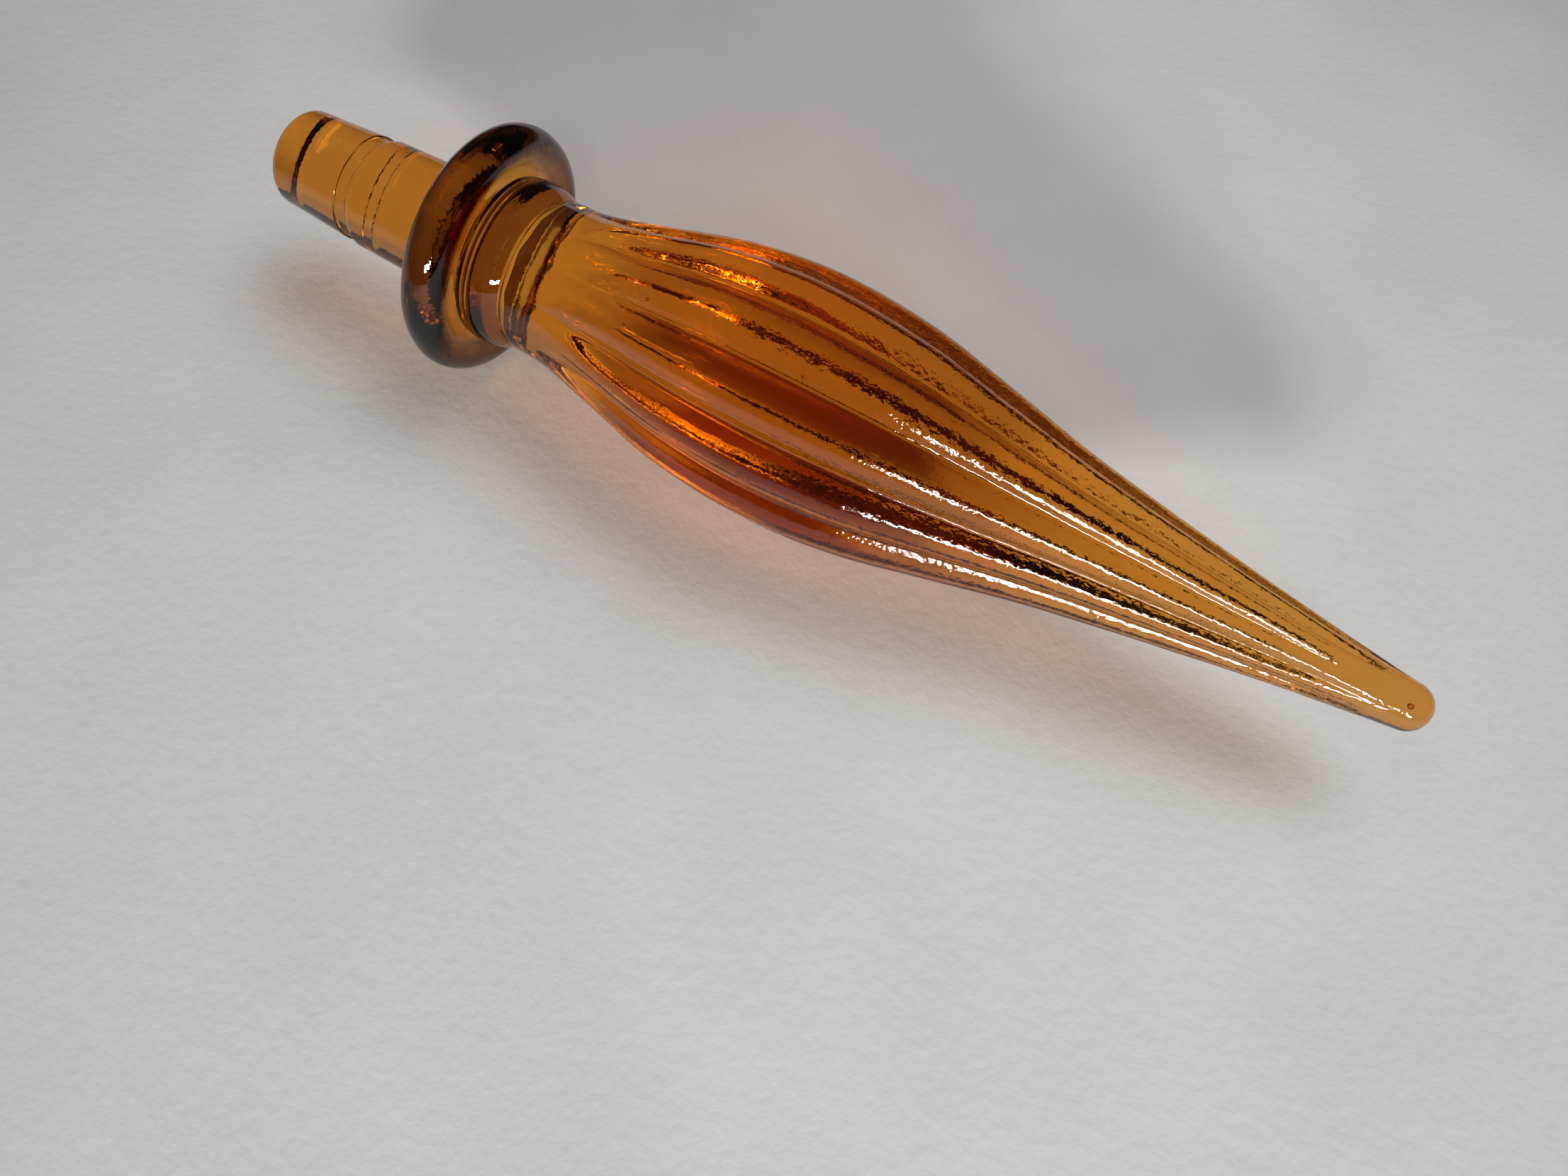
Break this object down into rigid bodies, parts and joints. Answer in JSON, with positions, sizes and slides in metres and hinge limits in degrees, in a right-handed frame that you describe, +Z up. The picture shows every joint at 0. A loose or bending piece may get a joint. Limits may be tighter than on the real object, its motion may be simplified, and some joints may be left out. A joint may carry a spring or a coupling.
{
  "type": "decanter stopper",
  "caption": "Solid amber glass decanter stopper: tapered plug, round flange, collar and long ribbed spindle finial with a smooth tip, lying on its side.",
  "frame": {"origin": "on the surface it lies on, under the middle of the lying stopper", "axes": "+X towards the tip of the finial, which dips about 0.7 degrees below level, +Z up"},
  "size_m": [0.2154, 0.045, 0.045],
  "materials": {
    "amber_glass": "clear amber glass, fire polished, with mould ripples"
  },
  "bodies": {
    "root": {"plug_ground_end": "amber_glass", "plug_root": "amber_glass", "flange": "amber_glass", "collar": "amber_glass", "ribbed_finial": "amber_glass"}
  },
  "joints": []
}
